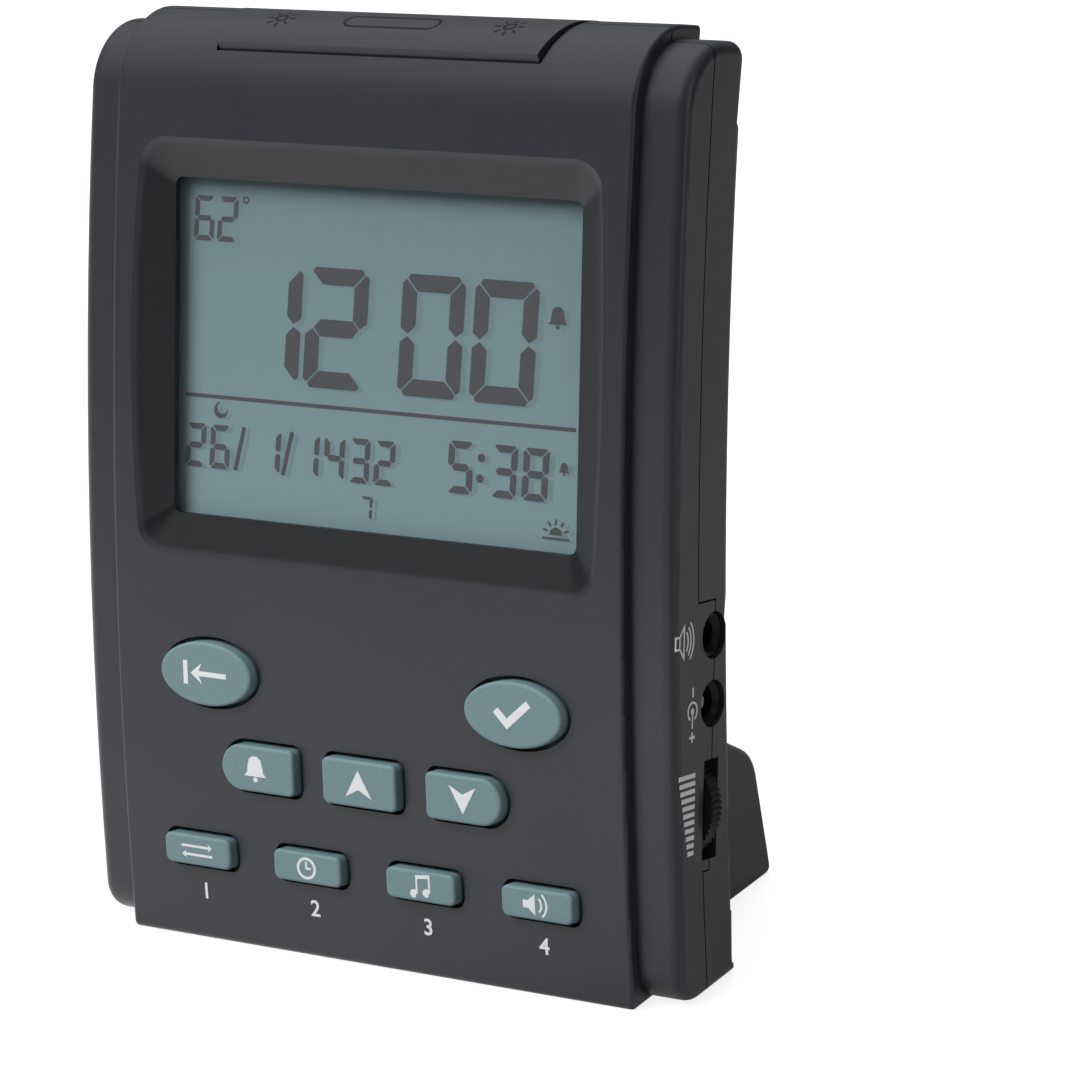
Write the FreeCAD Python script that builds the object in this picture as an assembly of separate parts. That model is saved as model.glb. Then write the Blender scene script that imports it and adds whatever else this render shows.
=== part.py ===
import FreeCAD, Part
import math
import os
from FreeCAD import Vector as V

# A free-standing prayer-time clock with an arched plastic case that leans back on a rear foot.
# All pieces are drawn in the case's own frame: X to the viewer's right, Y from the foremost
# line of the face to the back, Z up along the case. stand_up() then leans the whole clock back
# onto the table. Sizes are in millimetres.

# Overall case
case_width = 96.0
face_radius = 605.0          # the face bows towards the viewer in side view
bow_height = 83.5            # height of the foremost line of the face
shell_depth = 17.3           # face to back, square to the face
lean = 10.9                  # degrees that the case leans back when it stands
rest_y = 11.0                # the table line crosses height rest_z at this depth
rest_z = -0.1
wall = 2.0
side_round = 1.8
chin_round = 5.0             # front lower corner of the side flanks
top_roll = 12.0              # radius of the rolled top front edge
top_roll_y = 13.0
top_fall = 2.5               # degrees that the flat top drops towards the back
top_back_round = 2.4         # rounded back edge of the flanks' top

# Raised centre panel
flank_w = 6.6                # width of each lower flank beside the panel
panel_half = case_width / 2 - flank_w
panel_step = 1.9
panel_back = 16.0            # the panel wraps over the top to this depth
panel_round = 0.6
panel_chin = 1.0

# Parting of the two shells
part_depth = 8.5
seam_gap = 0.25
tongue = 1.5
tongue_slack = 0.12
cheek_y = 13.8               # the front shell reaches back this far round the jacks and wheel
cheek_low = 18.0
cheek_high = 54.4

# Display
glass_w = 65.6               # visible width and height of the display
glass_h = 46.8
glass_y = 3.1                # depth of the window's lower edge
recess_half_w = 38.1
recess_half_h = 30.6
recess_corner = 5.0
window_corner = 1.2
bezel_back = 5.6
lens_y = 4.1
lens_t = 1.2
lens_margin = 1.7
lcd_t = 2.4
lcd_margin = 3.6
light_t = 1.0
holder_wall = 1.2
holder_back = 0.5
slack = 0.3                  # everyday clearance between loose neighbours

# Keys
key_proud = 1.6
key_gap = 0.6
key_round = 0.45
key_flange = 0.9
key_flange_t = 0.8
key_travel = 0.9
oval_w = 15.3
oval_h = 9.1
oval_x = 25.1
oval_z = 38.3
mid_w = 12.1
mid_h = 6.6
mid_x = 16.9
mid_z = 25.6
low_w = 11.2
low_h = 4.4
low_x = (-28.0, -9.35, 9.35, 28.0)
low_z = 12.4

# Top bar
bar_half = 25.6
bar_flare = 2.4              # extra half length at the back edge
bar_start = 35.0             # degrees above the horizontal on the top roll
bar_end_y = 14.2
bar_forward = 1.0            # the bar has the top's own shape, moved forward and a little up
bar_lift = 0.1
bar_skin = 2.4
bar_gap = 0.4
bar_flange = 0.8
bar_well = 6.0               # how far the bar's opening is cut below the top of the roll
bar_push = 62.0              # direction of travel, degrees below the horizontal
bar_travel = 1.0

# Boards
board_y = 9.9
board_t = 1.2
board_left = -(case_width / 2 - 8.0)
board_right = case_width / 2 - 5.8
board_low = 5.5
board_high = 73.5
mat_t = 0.8
peg_r = 1.2                  # pegs of the front shell that carry the main board
peg_foot = 2.3
peg_places = [(board_left + 2.8, 18.6), (board_right - 5.0, 18.6),
              (board_left + 4.0, 49.0), (board_right - 12.2, 49.0)]

# Side fittings
jack_z = (49.7, 40.5)
jack_barrel = 2.9
jack_hole = 3.2
audio_bore = 1.8
dc_bore = 2.1
dc_pin = 0.85
jack_depth = 11.0
jack_body_w = 8.4
wheel_z = 26.2
wheel_r = 8.0
wheel_out = 1.2              # how far the wheel stands out of the side
wheel_t = 2.4
wheel_teeth = 60
wheel_tooth = 0.3
slot_half_z = 6.8
slot_half_y = 1.9
shaft_r = 1.5
shaft_slack = 0.05

# Speaker
speaker_z = 94.0
speaker_r = 18.0
speaker_t = 5.3
magnet_r = 7.0
grille_r = 14.5
grille_slot = 1.8
grille_pitch = 3.6

# Foot and battery bay
foot_top_z = 37.5            # top of the foot where it leaves the back
foot_knee_y = 49.0
foot_knee_z = 26.5
foot_heel_y = 55.3
foot_knee_round = 7.0
foot_heel_round = 1.2
foot_side_round = 0.8
cell_r = 7.25
cell_len = 49.5
cell_nub_r = 2.75
cell_nub = 1.0
cell_places = ((27.9, 23.4), (41.2, 15.9))
contact_room = 3.25          # beyond each end of the cells for the contacts
bay_half = cell_len / 2 + cell_nub + contact_room
rib_t = 1.6
side_room = 2.8              # hollow between the bay's end ribs and the foot's sides
foot_half = bay_half + rib_t + side_room + wall
door_half = bay_half - 0.5
door_t = 1.6
door_lip = 0.8
door_tongue = 1.2
door_from = 4.0
door_to = 27.2
door_slack = 0.2
door_travel = 20.0
bay_half_open = bay_half - 2.5

# Case screws
screw_x = case_width / 2 - 6.0
screw_z = (10.5, 119.0)
boss_r = 2.9
screw_shank = 1.2
screw_head = 2.5
screw_head_t = 1.7

half = case_width / 2
lean_rad = math.radians(lean)
fall_rad = math.radians(top_fall)
arch_centre = V(0, face_radius, bow_height)
roll_z = bow_height + math.sqrt((face_radius - top_roll) ** 2 - (face_radius - top_roll_y) ** 2)
roll_centre = V(0, top_roll_y, roll_z)
board_back = board_y + board_t


def arch_y(depth, z):
    # depth of a surface that lies a given depth behind the bowed face, at one height
    return face_radius - math.sqrt((face_radius - depth) ** 2 - (z - bow_height) ** 2)


def table_z(y):
    # height of the table under the leaning case
    return rest_z + (y - rest_y) * math.tan(lean_rad)


def box(x0, x1, y0, y1, z0, z1):
    return Part.makeBox(x1 - x0, y1 - y0, z1 - z0, V(x0, y0, z0))


def rod(start, direction, radius, length):
    return Part.makeCylinder(radius, length, start, direction)


def fuse(first, *others):
    return first.multiFuse(list(others)).removeSplitter()


def across(wire, low, high):
    # extrude an outline of the YZ plane along X
    face = Part.Face(wire)
    face.translate(V(low, 0, 0))
    return face.extrude(V(high - low, 0, 0))


def edges_at(shape, test):
    return [e for e in shape.Edges if test(e)]


def outline(depth, back, lift):
    # side profile of a body whose front, rolled top and bottom are inset into the case
    def bottom(at_depth):
        z = 0.0
        for _ in range(6):
            z = table_z(arch_y(at_depth, z)) + lift / math.cos(lean_rad)
        return V(0, arch_y(at_depth, z), z)

    low_front = bottom(depth)
    low_back = bottom(back)
    to_roll = (roll_centre - arch_centre).normalize()
    radius = top_roll - depth
    roll_start = arch_centre + to_roll * (face_radius - depth)
    top_dir = V(0, math.sin(fall_rad), math.cos(fall_rad))
    roll_end = roll_centre + top_dir * radius
    roll_mid = roll_centre + (to_roll + top_dir).normalize() * radius
    z = roll_end.z
    for _ in range(6):
        z = roll_end.z - (arch_y(back, z) - roll_end.y) * math.tan(fall_rad)
    top_back = V(0, arch_y(back, z), z)
    mid_z = (low_front.z + roll_start.z) / 2
    return Part.Wire([
        Part.Arc(low_front, V(0, arch_y(depth, mid_z), mid_z), roll_start).toShape(),
        Part.Arc(roll_start, roll_mid, roll_end).toShape(),
        Part.makeLine(roll_end, top_back),
        Part.Arc(top_back, V(0, arch_y(back, mid_z), mid_z), low_back).toShape(),
        Part.makeLine(low_back, low_front),
    ])


def front_chin(shape, depth):
    # the lower front edge that runs along X
    def low_edge(edge):
        c = edge.CenterOfMass
        straight = abs(edge.BoundBox.YLength) < 0.01 and edge.BoundBox.XLength > 10
        return straight and c.z < 8 and c.y < arch_y(depth, 0) + 1.5
    return edges_at(shape, low_edge)


def case_body(inset, rounded):
    # the flanks and the raised panel, both inset from the outside by the same amount
    flank_half = half - inset
    rise_half = panel_half - inset
    flank = across(outline(panel_step + inset, shell_depth - inset, inset), -flank_half, flank_half)
    flank = flank.makeFillet(chin_round - inset, front_chin(flank, panel_step + inset))
    rise = across(outline(inset, panel_back - inset, inset), -rise_half, rise_half)
    if rounded:
        top_back = [e for e in flank.Edges if e.BoundBox.XLength > 10 and e.CenterOfMass.z > roll_z
                    and e.CenterOfMass.y > arch_y(shell_depth, e.CenterOfMass.z) - 0.1]
        flank = flank.makeFillet(top_back_round, top_back)
        on_side = [e for e in flank.Edges if abs(abs(e.CenterOfMass.x) - flank_half) < 0.01]
        flank = flank.makeFillet(side_round, on_side)
        rise = rise.makeFillet(panel_chin, front_chin(rise, inset))
        on_side = [e for e in rise.Edges if abs(abs(e.CenterOfMass.x) - rise_half) < 0.01
                   and e.CenterOfMass.y < arch_y(panel_back, e.CenterOfMass.z) - 0.3]
        rise = rise.makeFillet(panel_round, on_side)
    return fuse(flank, rise)


def slab(front, back):
    # everything between two depths behind the bowed face
    low = bow_height - 100
    high = bow_height + 70
    mid = bow_height
    return across(Part.Wire([
        Part.Arc(V(0, arch_y(front, low), low), V(0, arch_y(front, mid), mid),
                 V(0, arch_y(front, high), high)).toShape(),
        Part.makeLine(V(0, arch_y(front, high), high), V(0, arch_y(back, high), high)),
        Part.Arc(V(0, arch_y(back, high), high), V(0, arch_y(back, mid), mid),
                 V(0, arch_y(back, low), low)).toShape(),
        Part.makeLine(V(0, arch_y(back, low), low), V(0, arch_y(front, low), low)),
    ]), -half - 10, half + 10)


def rectangle(half_w, half_h, corner, y, x=0.0, z=0.0):
    # rounded rectangle in a plane square to the display
    w = half_w - corner
    h = half_h - corner
    k = corner * math.sqrt(0.5)
    edges = []
    for sx, sz in ((1, -1), (1, 1), (-1, 1), (-1, -1)):
        c = V(x + sx * w, y, z + sz * h)
        ends = [c + V(sx * corner, 0, 0), c + V(0, 0, sz * corner)]
        if sx * sz < 0:
            ends.reverse()
        edges.append((ends[0], c + V(sx * k, 0, sz * k), ends[1]))
    shapes = []
    for i, (first, mid, last) in enumerate(edges):
        shapes.append(Part.Arc(first, mid, last).toShape())
        shapes.append(Part.makeLine(last, edges[(i + 1) % 4][0]))
    return Part.Wire(shapes)


def plate(wire, depth):
    return Part.Face(wire).extrude(V(0, depth, 0))


def oval(half_w, half_h, y, x, z):
    ellipse = Part.Ellipse(V(x, y, z), half_w, half_h)
    edge = ellipse.toShape()
    edge.rotate(V(x, y, z), V(1, 0, 0), 90)
    return Part.Wire(edge)


def d_shape(half_w, half_h, corner, y, x, z, side):
    # one end square with small corners, the other end a flattened half round
    bulge = half_h * 0.9
    square = x - side * half_w
    start = x + side * (half_w - bulge)
    k = corner * (1 - math.sqrt(0.5))

    def p(px, pz):
        return V(px, y, pz)

    return Part.Wire([
        Part.makeLine(p(square, z - half_h + corner), p(square, z + half_h - corner)),
        Part.Arc(p(square, z + half_h - corner), p(square + side * k, z + half_h - k),
                 p(square + side * corner, z + half_h)).toShape(),
        Part.makeLine(p(square + side * corner, z + half_h), p(start, z + half_h)),
        Part.Arc(p(start, z + half_h), p(x + side * half_w, z), p(start, z - half_h)).toShape(),
        Part.makeLine(p(start, z - half_h), p(square + side * corner, z - half_h)),
        Part.Arc(p(square + side * corner, z - half_h), p(square + side * k, z - half_h + k),
                 p(square, z - half_h + corner)).toShape(),
    ])


def key_outline(key, grow, y):
    kind, x, z = key
    if kind == "oval":
        return oval(oval_w / 2 + grow, oval_h / 2 + grow, y, x, z)
    if kind == "middle":
        return rectangle(mid_w / 2 + grow, mid_h / 2 + grow, 1.0 + grow, y, x, z)
    if kind == "low":
        return rectangle(low_w / 2 + grow, low_h / 2 + grow, 1.1 + grow, y, x, z)
    side = -1 if kind == "round_left" else 1
    return d_shape(mid_w / 2 + grow, mid_h / 2 + grow, 1.0 + grow, y, x, z, side)


keys = {
    "key_exit": ("oval", -oval_x, oval_z),
    "key_set": ("oval", oval_x, oval_z),
    "key_daily_alarm": ("round_left", -mid_x, mid_z),
    "key_up": ("middle", 0.0, mid_z),
    "key_down": ("round_right", mid_x, mid_z),
    "key_calendar": ("low", low_x[0], low_z),
    "key_reminder": ("low", low_x[1], low_z),
    "key_volume_tone": ("low", low_x[2], low_z),
    "key_call": ("low", low_x[3], low_z),
}


def key_half_height(key):
    return {"oval": oval_h, "low": low_h}.get(key[0], mid_h) / 2


def flange_front(key):
    # the flange waits just behind the panel wall at the key's lower edge
    low_edge = key[2] - key_half_height(key) - key_flange
    return arch_y(wall, low_edge) + slack


def key_solid(key):
    blank = plate(key_outline(key, 0, -6), flange_front(key) + 6 + key_flange_t)
    cap = blank.common(slab(-key_proud, 20))
    rim = [e for e in cap.Edges if e.CenterOfMass.y < arch_y(-key_proud, e.CenterOfMass.z) + 0.4
           and e.BoundBox.YLength < 1.5]
    cap = cap.makeFillet(key_round, rim)
    flange = plate(key_outline(key, key_flange, flange_front(key)), key_flange_t)
    return fuse(cap, flange)


def dome_top(key):
    return flange_front(key) + key_flange_t + key_travel + slack


def keypad_mat():
    mat_y = board_y - mat_t
    mat = box(-37.0, 37.0, mat_y, board_y, 7.5, 44.5)
    domes = []
    for key in keys.values():
        height = mat_y - dome_top(key)
        if height > 0.2:
            base = min(key_half_height(key), 2.6)
            domes.append(Part.makeCone(base, base * 0.75, height, V(key[1], mat_y, key[2]), V(0, -1, 0)))
    holes = [rod(V(x, mat_y - 1, z), V(0, 1, 0), peg_foot + slack, mat_t + 2) for x, z in peg_places]
    return fuse(mat, *domes).cut(Part.makeCompound(holes))


def bar_direction():
    push = math.radians(bar_push)
    return V(0, math.cos(push), -math.sin(push))


def top_bar_prism(grow):
    # outline of the bar seen along its travel, swept along the travel
    travel = bar_direction()
    e_dir = V(0, -travel.z, travel.y)
    start = math.radians(bar_start)
    low = roll_centre + V(0, -math.cos(start), math.sin(start)) * top_roll
    high = roll_centre + V(0, bar_end_y - top_roll_y, top_roll)
    e_low = low.dot(e_dir) - grow
    e_high = high.dot(e_dir) + grow
    mid = roll_centre.dot(travel)
    origin = travel * (mid - top_roll - 6)
    corners = [
        origin + e_dir * e_low + V(-bar_half - grow, 0, 0),
        origin + e_dir * e_low + V(bar_half + grow, 0, 0),
        origin + e_dir * e_high + V(bar_half + bar_flare + grow, 0, 0),
        origin + e_dir * e_high + V(-bar_half - bar_flare - grow, 0, 0),
    ]
    face = Part.Face(Part.makePolygon(corners + corners[:1]))
    return face.extrude(travel * (6 + bar_well))


def switch_ribs(under):
    # two ribs of the rear shell that carry the switch board
    ribs = []
    for x in (-8.0, 6.5):
        rib = Part.makeBox(1.5, 7.0, 14.0, V(x, -3.5, 1.0))
        rib.Placement = FreeCAD.Placement(under, FreeCAD.Rotation(V(0, 0, 1), bar_direction()))
        rib = rib.common(box(-20, 20, 0, 30, speaker_z + speaker_r + 1.8, 130))
        ribs.append(rib.common(slab(part_depth + 0.6, shell_depth - wall / 2)))
    return ribs


def top_body(inset):
    # the rolled top at one inset from the panel surface, wider and deeper than the bar
    return across(outline(inset, shell_depth + 6, 0), -panel_half, panel_half)


def top_bar():
    outside = top_body(0)
    outside.translate(V(0, -bar_forward, bar_lift))
    cap = top_bar_prism(0).common(outside).cut(top_body(bar_skin))
    flange = top_bar_prism(bar_gap + bar_flange).common(top_body(wall + slack))
    flange = flange.cut(top_body(wall + slack + bar_flange))
    sweep = bar_travel * bar_direction().y
    flange = flange.common(slab(0, panel_back - wall - slack - sweep))
    post_start = roll_centre - bar_direction() * (top_roll - wall - 1.0)
    post = rod(post_start, bar_direction(), 2.0, 4.0)
    return fuse(cap, flange, post)


def bar_switch():
    # the post stops a travel and a clearance short of the switch
    tip = roll_centre - bar_direction() * (top_roll - wall - 1.0 - 4.0 - bar_travel - slack)
    button = rod(tip, bar_direction(), 1.5, 0.9)
    side = 4.5
    body = Part.makeBox(side, side, 2.0, V(-side / 2, -side / 2, 0))
    body.Placement = FreeCAD.Placement(tip + bar_direction() * 0.9,
                                       FreeCAD.Rotation(V(0, 0, 1), bar_direction()))
    return fuse(button, body), tip + bar_direction() * 2.9


def switch_board(under):
    board = Part.makeBox(16.0, 7.0, 1.0, V(-8.0, -3.5, 0))
    board.Placement = FreeCAD.Placement(under, FreeCAD.Rotation(V(0, 0, 1), bar_direction()))
    return board


def side_cutters():
    hole_start = half - 4.6
    cutters = [rod(V(hole_start, cheek_y, z), V(1, 0, 0), jack_hole, 8) for z in jack_z]
    cutters.append(box(half - 6, half + 4, cheek_y - slot_half_y, cheek_y + slot_half_y,
                       wheel_z - slot_half_z, wheel_z + slot_half_z))
    return Part.makeCompound(cutters)


def cheek(grow):
    return box(half - 8, half + 8, -5, cheek_y + grow, cheek_low - grow, cheek_high + grow)


def bezel_funnel():
    run_w = (recess_half_w - glass_w / 2) / glass_y
    run_h = (recess_half_h - glass_h / 2) / glass_y
    ahead = 1.0
    outer = rectangle(recess_half_w + run_w * ahead, recess_half_h + run_h * ahead,
                      recess_corner + 1.2, -ahead, 0, bow_height)
    inner = rectangle(glass_w / 2, glass_h / 2, window_corner, glass_y, 0, bow_height)
    return Part.makeLoft([outer, inner], True, True)


def front_case(outer, inner):
    shell = outer.cut(inner)
    front = shell.common(slab(-6, part_depth))
    front = front.cut(case_body(wall / 2 - tongue_slack, False).common(slab(part_depth - tongue - 0.1, 30)))
    front = fuse(front, shell.common(cheek(0)))
    inner_wall = panel_half - wall
    bezel = box(-inner_wall, inner_wall, wall - 0.5, bezel_back,
                bow_height - recess_half_h - 0.6, bow_height + recess_half_h + 0.6)
    bezel = bezel.common(slab(wall - 0.5, 20))
    bosses = []
    for z in screw_z:
        for x in (-screw_x, screw_x):
            start = arch_y(panel_step + wall / 2, z)
            bosses.append(rod(V(x, start, z), V(0, 1, 0), boss_r, arch_y(part_depth, z) - start))
    for x, z in peg_places:
        start = arch_y(wall / 2, z)
        bosses.append(rod(V(x, start, z), V(0, 1, 0), peg_foot, board_y - start))
        bosses.append(rod(V(x, start, z), V(0, 1, 0), peg_r, board_back + 1.0 - start))
    front = fuse(front, bezel, *bosses)
    cuts = [bezel_funnel()]
    cuts.append(plate(rectangle(glass_w / 2, glass_h / 2, window_corner, -5, 0, bow_height), 20))
    lens_w = glass_w / 2 + lens_margin + slack
    lens_h = glass_h / 2 + lens_margin + slack
    cuts.append(plate(rectangle(lens_w, lens_h, 1.5, lens_y, 0, bow_height), 10))
    for key in keys.values():
        cuts.append(plate(key_outline(key, key_gap, -5), 20))
        pocket = flange_front(key) - slack
        cuts.append(plate(key_outline(key, key_flange + slack, pocket), 1.5))
    cuts.append(top_bar_prism(bar_gap))
    cuts.append(side_cutters())
    for z in screw_z:
        for x in (-screw_x, screw_x):
            deep = arch_y(part_depth, z)
            cuts.append(rod(V(x, deep + 1, z), V(0, -1, 0), screw_shank - 0.15, 5.5))
    for cutter in cuts:
        front = front.cut(cutter)
    return front


def foot_outline(inset):
    # side profile of the foot, inset from its own faces
    top = V(0, shell_depth - 1, foot_top_z + (foot_knee_z - foot_top_z) / (foot_knee_y - 20)
            * (shell_depth - 1 - 20))
    knee = V(0, foot_knee_y, foot_knee_z)
    heel = V(0, foot_heel_y, table_z(foot_heel_y))
    toe = V(0, shell_depth - 1, table_z(shell_depth - 1))
    corners = [top, knee, heel, toe]
    if inset == 0:
        return corners
    moved = []
    for i, corner in enumerate(corners):
        before = (corner - corners[i - 1]).normalize()
        after = (corners[(i + 1) % 4] - corner).normalize()
        n0 = V(0, before.z, -before.y)
        n1 = V(0, after.z, -after.y)
        bisect = (n0 + n1).normalize()
        moved.append(corner + bisect * (inset / bisect.dot(n0)))
    return moved


def prism_x(corners, low, high):
    wire = Part.makePolygon(corners + corners[:1])
    face = Part.Face(wire)
    face.translate(V(low, 0, 0))
    return face.extrude(V(high - low, 0, 0))


slope_angle = math.atan2(foot_top_z - foot_knee_z, foot_knee_y - 20)
slope_dir = V(0, math.cos(slope_angle), -math.sin(slope_angle))
slope_up = V(0, math.sin(slope_angle), math.cos(slope_angle))
slope_start = V(0, 20, foot_top_z)


def on_slope(x0, x1, s0, s1, h0, h1):
    # a block on the foot's sloping top: s runs down the slope, h stands off it
    corner = slope_start + slope_dir * s0 + slope_up * h0
    block = Part.makeBox(x1 - x0, s1 - s0, h1 - h0)
    block.Placement = FreeCAD.Placement(V(x0, corner.y, corner.z),
                                        FreeCAD.Rotation(V(1, 0, 0), -math.degrees(slope_angle)))
    return block


def foot_block():
    block = prism_x(foot_outline(0), -foot_half, foot_half)
    knee = [e for e in block.Edges if abs(e.CenterOfMass.y - foot_knee_y) < 0.1
            and abs(e.CenterOfMass.z - foot_knee_z) < 0.1]
    block = block.makeFillet(foot_knee_round, knee)
    heel = [e for e in block.Edges if abs(e.CenterOfMass.y - foot_heel_y) < 0.1
            and e.BoundBox.XLength > 10]
    block = block.makeFillet(foot_heel_round, heel)
    side = [e for e in block.Edges if abs(abs(e.CenterOfMass.x) - foot_half) < 0.01
            and e.CenterOfMass.y > shell_depth + 1]
    return block.makeFillet(foot_side_round, side)


def rear_case(outer, inner, under):
    shell = outer.cut(inner)
    rear = shell.common(slab(part_depth + seam_gap, 40))
    lip = case_body(wall / 2, False).cut(inner).common(slab(part_depth - tongue, part_depth + 1.0))
    tower = []
    for z in screw_z:
        for x in (-screw_x, screw_x):
            start = arch_y(part_depth, z)
            tower.append(rod(V(x, start, z), V(0, 1, 0), boss_r, arch_y(shell_depth - wall / 2, z) - start))
    ring_front = arch_y(shell_depth - wall, speaker_z) - speaker_t
    ring_length = arch_y(shell_depth - wall / 2, speaker_z) - ring_front
    ring = rod(V(0, ring_front, speaker_z), V(0, 1, 0), speaker_r + slack + 1.2, ring_length)
    ring = ring.cut(rod(V(0, ring_front - 1, speaker_z), V(0, 1, 0), speaker_r + slack, ring_length + 2))
    inner_foot = foot_block().cut(inner)
    rear = fuse(rear, lip, inner_foot, ring, *tower, *switch_ribs(under))
    rear = rear.cut(cheek(seam_gap))
    cuts = []
    hollow = prism_x(foot_outline(wall), -foot_half + wall, foot_half - wall)
    ribs = Part.makeCompound([box(x, x + rib_t, 0, 80, -20, 80) for x in (-bay_half - rib_t, bay_half)])
    cuts.append(hollow.cut(outer).cut(ribs))
    wire_way = rod(V(-foot_half + wall, 36.0, 24.0), V(1, 0, 0), 1.2, 2 * (foot_half - wall))
    cuts.append(wire_way)
    cuts.append(on_slope(-bay_half_open, bay_half_open, door_from + 2.5, door_to - 2.5, -6, 2))
    cuts.append(on_slope(-door_half - door_slack, door_half + door_slack, door_from - door_slack, 45,
                         -door_t - door_slack, 4))
    cuts.append(on_slope(-door_half - door_tongue - door_slack, door_half + door_tongue + door_slack,
                         door_from - door_slack, 45, -door_t - door_slack, -door_lip))
    for z in screw_z:
        for x in (-screw_x, screw_x):
            back = arch_y(shell_depth, z)
            cuts.append(rod(V(x, back + 1, z), V(0, -1, 0), screw_shank + 0.1, 15))
            cuts.append(rod(V(x, back + 1, z), V(0, -1, 0), screw_head + 0.2, screw_head_t + 1.6))
    cuts += grille_slots()
    cuts.append(top_bar_prism(bar_gap))
    cuts.append(side_cutters())
    for cutter in cuts:
        rear = rear.cut(cutter)
    return rear


def grille_slots():
    slots = []
    rows = int(grille_r / grille_pitch)
    back = arch_y(shell_depth, speaker_z)
    for i in range(-rows, rows + 1):
        z = i * grille_pitch
        reach = math.sqrt(grille_r ** 2 - z ** 2) - grille_slot / 2
        wire = rectangle(reach + grille_slot / 2, grille_slot / 2, grille_slot / 2 - 0.01,
                         back - wall - 2, 0, speaker_z + z)
        slots.append(plate(wire, wall + 5))
    return slots


def battery_door():
    door = on_slope(-door_half, door_half, door_from, door_to, -door_t, 0)
    tongues = on_slope(-door_half - door_tongue, door_half + door_tongue, door_from, door_to,
                       -door_t, -door_lip - door_slack)
    grips = [on_slope(-8, 8, door_to - 4 - 2 * i, door_to - 3 - 2 * i, -0.2, 0.4) for i in range(3)]
    return fuse(door, tongues, *grips)


def cell(place, flip):
    y, z = place
    side = -1 if flip else 1
    body = rod(V(-side * cell_len / 2, y, z), V(side, 0, 0), cell_r, cell_len)
    nub = rod(V(side * cell_len / 2, y, z), V(side, 0, 0), cell_nub_r, cell_nub)
    return fuse(body, nub)


def battery_contacts():
    # a leaf spring at each negative end and a dimpled plate at each positive end
    pieces = []
    plate_t = 0.4
    for (y, z), side in zip(cell_places, (1, -1)):
        wall_x = side * bay_half
        back_plate = Part.makeBox(plate_t, 9, 9, V(min(wall_x, wall_x - side * plate_t), y - 4.5, z - 4.5))
        reach = bay_half - plate_t - cell_len / 2 - cell_nub - slack
        dimple = Part.makeCone(2.4, 1.6, reach, V(wall_x - side * plate_t, y, z), V(-side, 0, 0))
        pieces.append(fuse(back_plate, dimple))
        far = -side * bay_half
        tip = -side * (cell_len / 2 + slack)
        inward = side
        leaf = [V(far, y - 3, z - 4.5), V(far, y - 3, z + 4.5), V(far + inward * plate_t, y - 3, z + 4.5),
                V(tip, y - 3, z + 0.3), V(tip, y - 3, z - 0.3),
                V(far + inward * plate_t, y - 3, z - 2.4), V(far + inward * plate_t, y - 3, z - 4.5)]
        inner_leaf = [V(far + inward * plate_t * 1.01, y - 4, z + 3.6), V(tip - inward * 0.5, y - 4, z),
                      V(far + inward * plate_t * 1.01, y - 4, z - 1.7)]
        spring = Part.Face(Part.makePolygon(leaf + leaf[:1])).extrude(V(0, 6, 0))
        hollow = Part.Face(Part.makePolygon(inner_leaf + inner_leaf[:1])).extrude(V(0, 8, 0))
        pieces.append(spring.cut(hollow))
    return Part.makeCompound(pieces)


def display_parts():
    lens = plate(rectangle(glass_w / 2 + lens_margin, glass_h / 2 + lens_margin, 1.2, lens_y, 0, bow_height),
                 lens_t)
    lcd_w = glass_w / 2 + lcd_margin
    lcd_low = bow_height - glass_h / 2 - lcd_margin - 0.8
    lcd_high = bow_height + glass_h / 2 + lcd_margin - 1.6
    lcd = box(-lcd_w, lcd_w, bezel_back, bezel_back + lcd_t, lcd_low, lcd_high)
    light_y = bezel_back + lcd_t
    light_low = lcd_low + 4.4
    light = box(-lcd_w + 0.6, lcd_w - 0.6, light_y, light_y + light_t, light_low, lcd_high - 0.6)
    zebra = box(-30.0, 30.0, light_y, board_y, lcd_low + 0.8, lcd_low + 3.2)
    out_w = lcd_w + slack + holder_wall
    holder = box(-out_w, out_w, bezel_back, light_y + light_t + holder_back,
                 lcd_low - slack - holder_wall, lcd_high + slack + holder_wall)
    pocket = box(-lcd_w - slack, lcd_w + slack, bezel_back - 1, light_y + light_t,
                 lcd_low - slack, lcd_high + slack)
    gap_low = box(-lcd_w - slack, lcd_w + slack, light_y, board_y, lcd_low - slack, light_low)
    holder = holder.cut(pocket).cut(gap_low)
    return lens, lcd, light, zebra, holder


def main_board():
    board = box(board_left, board_right, board_y, board_back, board_low, board_high)
    cuts = [rod(V(x, board_y - 1, screw_z[0]), V(0, 1, 0), boss_r + slack, 4) for x in (-screw_x, screw_x)]
    cuts += [rod(V(x, board_y - 1, z), V(0, 1, 0), peg_r + 0.1, 4) for x, z in peg_places]
    return board.cut(Part.makeCompound(cuts))


def board_chips():
    y = board_back
    blob = Part.makeSphere(12.0, V(-6, y - 10.2, 32), V(0, 0, 1)).common(box(-20, 10, y, y + 3, 15, 50))
    crystal = rod(V(14, y + 1.0, 24), V(1, 0, 0), 1.0, 6.0)
    crystal = crystal.common(box(0, 40, y, y + 5, 0, 60))
    cap_can = rod(V(18, y, 60), V(0, 1, 0), 2.5, 3.4)
    amp = box(4, 12, y, y + 1.6, 52, 57)
    return Part.makeCompound([blob, crystal, cap_can, amp])


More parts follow.
